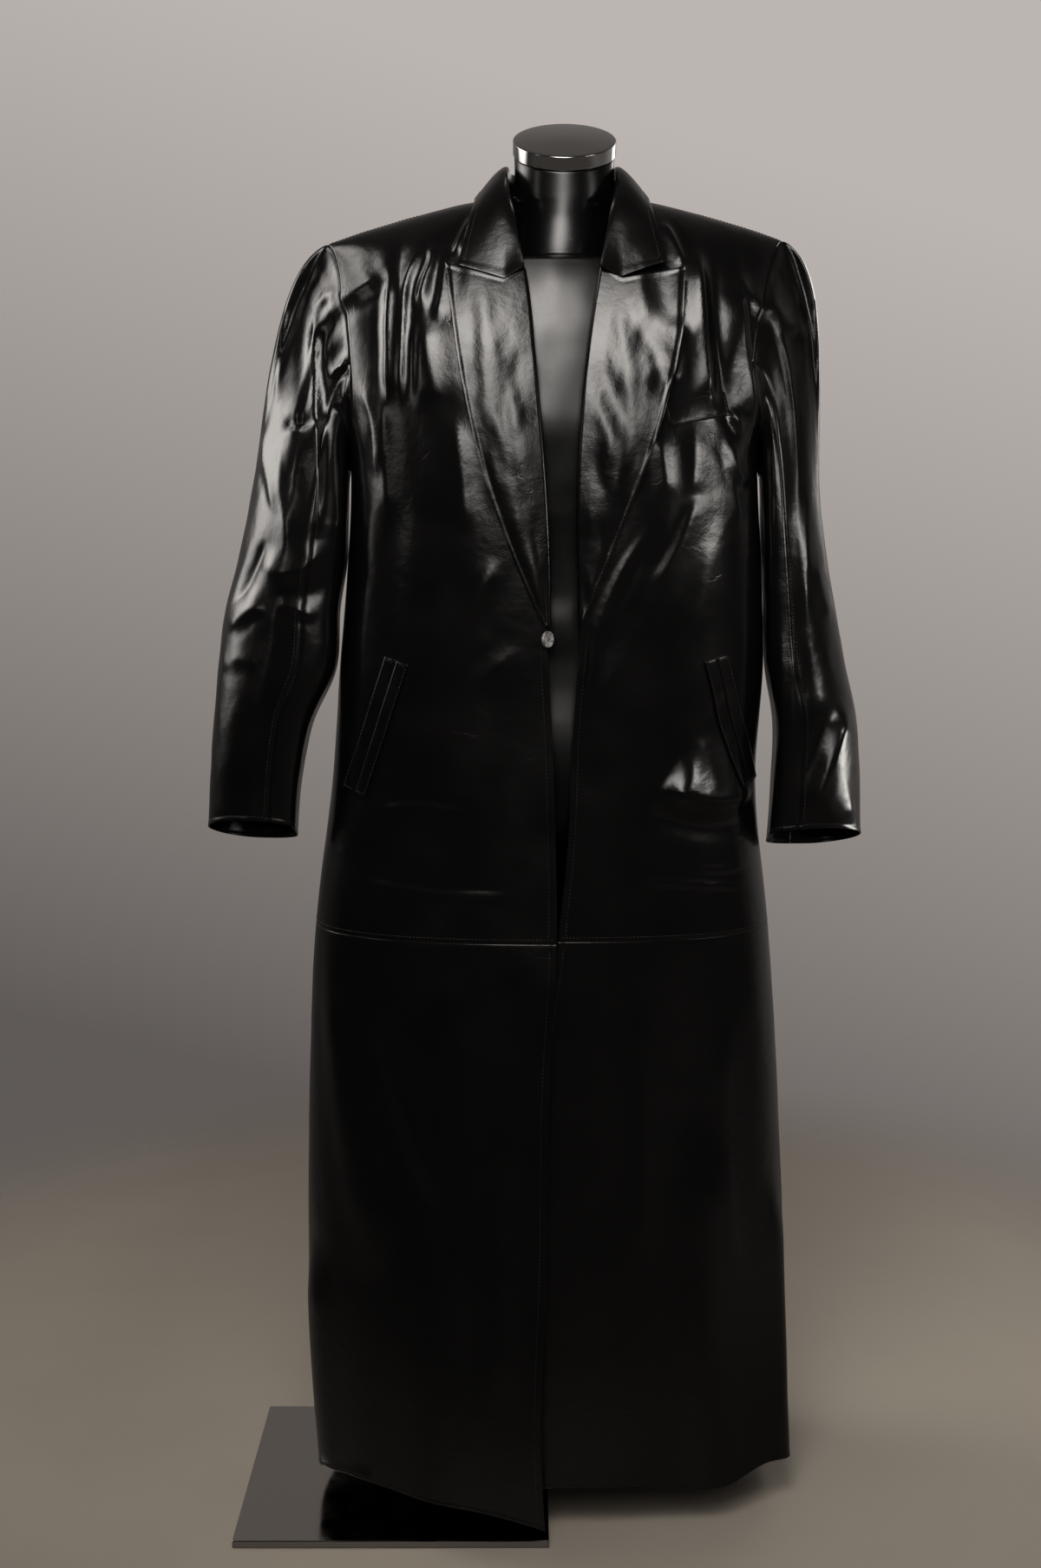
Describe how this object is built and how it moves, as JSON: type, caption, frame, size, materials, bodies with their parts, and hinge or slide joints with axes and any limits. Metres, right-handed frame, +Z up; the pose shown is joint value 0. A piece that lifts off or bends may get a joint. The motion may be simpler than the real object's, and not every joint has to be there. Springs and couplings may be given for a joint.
{
  "type": "long leather coat on a torso form with a stand",
  "caption": "Ankle-length black leather coat with peaked lapels, worn open on a limbless gloss torso form that stands on a pole and a square base plate.",
  "frame": {"origin": "on the floor, on the pole's axis, in the underside of the base plate", "axes": "+Z up along the pole, -Y the way the coat's front faces, +X to the wearer's left"},
  "size_m": [0.764, 0.4249, 1.6066],
  "materials": {
    "black_leather": "black, glossy, finely grained",
    "mottled_button": "mottled grey and white, half gloss",
    "black_gloss_form": "black, high gloss",
    "chrome": "bright chrome",
    "polished_steel": "polished"
  },
  "bodies": {
    "root": {"back_lower": "black_leather", "back_upper": "black_leather", "chest_welt": "black_leather", "collar": "black_leather", "front_lower_left": "black_leather", "front_lower_right": "black_leather", "front_upper_left": "black_leather", "front_upper_right": "black_leather", "lapel_left": "black_leather", "lapel_right": "black_leather", "pocket_welt_left_back": "black_leather", "pocket_welt_left_front": "black_leather", "pocket_welt_right_back": "black_leather", "pocket_welt_right_front": "black_leather", "sleeve_top_left": "black_leather", "sleeve_top_right": "black_leather", "sleeve_under_left": "black_leather", "sleeve_under_right": "black_leather", "button": "mottled_button", "form": "black_gloss_form", "neck_cap": "chrome", "pole": "chrome", "base_plate": "polished_steel"}
  },
  "joints": []
}
